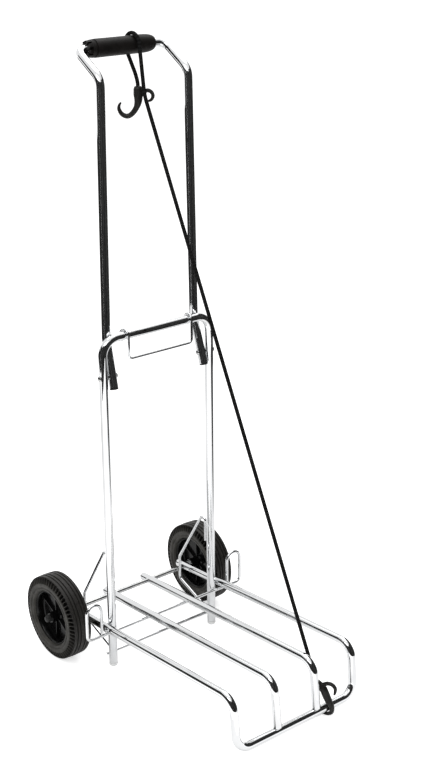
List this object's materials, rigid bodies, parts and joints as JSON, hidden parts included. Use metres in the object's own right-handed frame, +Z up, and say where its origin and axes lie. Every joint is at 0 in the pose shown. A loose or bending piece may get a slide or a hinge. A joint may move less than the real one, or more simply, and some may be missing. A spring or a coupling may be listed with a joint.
{
  "type": "folding utility cart",
  "caption": "Folding luggage cart of bent chrome tube with a fold-up wire platform, fold-back handle with grip, rubber-tyred wheels and an elastic cord with hooks.",
  "frame": {"origin": "On the floor, under the middle of the cart's box without the cord and its hooks, with the cart open", "axes": "+Z up, -Y the cart's front where the platform is, +X across the cart along the axle"},
  "size_m": [0.3536, 0.5027, 1.0052],
  "materials": {
    "chrome_tube": "polished",
    "chrome_wire": "polished",
    "zinc_steel": "zinc plated",
    "tyre_rubber": "matte",
    "wheel_plastic": "satin",
    "grip_rubber": "satin",
    "hook_plastic": "satin",
    "cord_cover": "braided",
    "cap_plastic": "satin",
    "plug_plastic": "satin"
  },
  "bodies": {
    "frame": {"lower_frame": "chrome_tube", "foot_cap_left": "cap_plastic", "foot_cap_right": "cap_plastic", "axle": "zinc_steel", "axle_bracket_left": "chrome_wire", "axle_bracket_right": "chrome_wire", "axle_washer_left": "zinc_steel", "axle_washer_right": "zinc_steel", "axle_cap_left": "plug_plastic", "axle_cap_right": "plug_plastic", "lower_cross_wire": "chrome_wire", "rack_wire": "chrome_wire", "handle_pivot_left": "zinc_steel", "handle_pivot_right": "zinc_steel", "pivot_washer_left": "zinc_steel", "pivot_washer_right": "zinc_steel", "bungee_cord_lower": "cord_cover"},
    "platform": {"platform_frame": "chrome_tube", "platform_bar_left": "chrome_tube", "platform_bar_right": "chrome_tube", "platform_rivet_left": "zinc_steel", "platform_rivet_right": "zinc_steel", "hook_lower": "hook_plastic"},
    "handle": {"handle_tube": "chrome_tube", "grip": "grip_rubber", "stub_plug_left": "plug_plastic", "stub_plug_right": "plug_plastic", "hook_upper": "hook_plastic", "bungee_cord_upper": "cord_cover"},
    "bail": {"bail": "chrome_wire"},
    "wheel_left": {"tyre_left": "tyre_rubber", "wheel_left": "wheel_plastic"},
    "wheel_right": {"tyre_right": "tyre_rubber", "wheel_right": "wheel_plastic"}
  },
  "joints": [
    {"name": "platform_fold", "type": "hinge", "parent": "frame", "child": "platform", "pos_m": [0, 0.1748, 0.0712], "axis": [-1, 0, 0], "range_deg": [0, 82], "deforming": ["bungee_cord_lower"]},
    {"name": "handle_fold", "type": "hinge", "parent": "frame", "child": "handle", "pos_m": [0, 0.0868, 0.5], "axis": [-1, 0, 0], "range_deg": [0, 160], "deforming": ["bungee_cord_upper"]},
    {"name": "bail_swing", "type": "hinge", "parent": "frame", "child": "bail", "pos_m": [0, 0.0868, 0.56], "axis": [-1, 0, 0], "range_deg": [-90, 150]},
    {"name": "wheel_left_spin", "type": "hinge", "parent": "frame", "child": "wheel_left", "pos_m": [-0.1505, 0.1748, 0.0712], "axis": [1, 0, 0], "continuous": true},
    {"name": "wheel_right_spin", "type": "hinge", "parent": "frame", "child": "wheel_right", "pos_m": [0.1505, 0.1748, 0.0712], "axis": [1, 0, 0], "continuous": true}
  ]
}
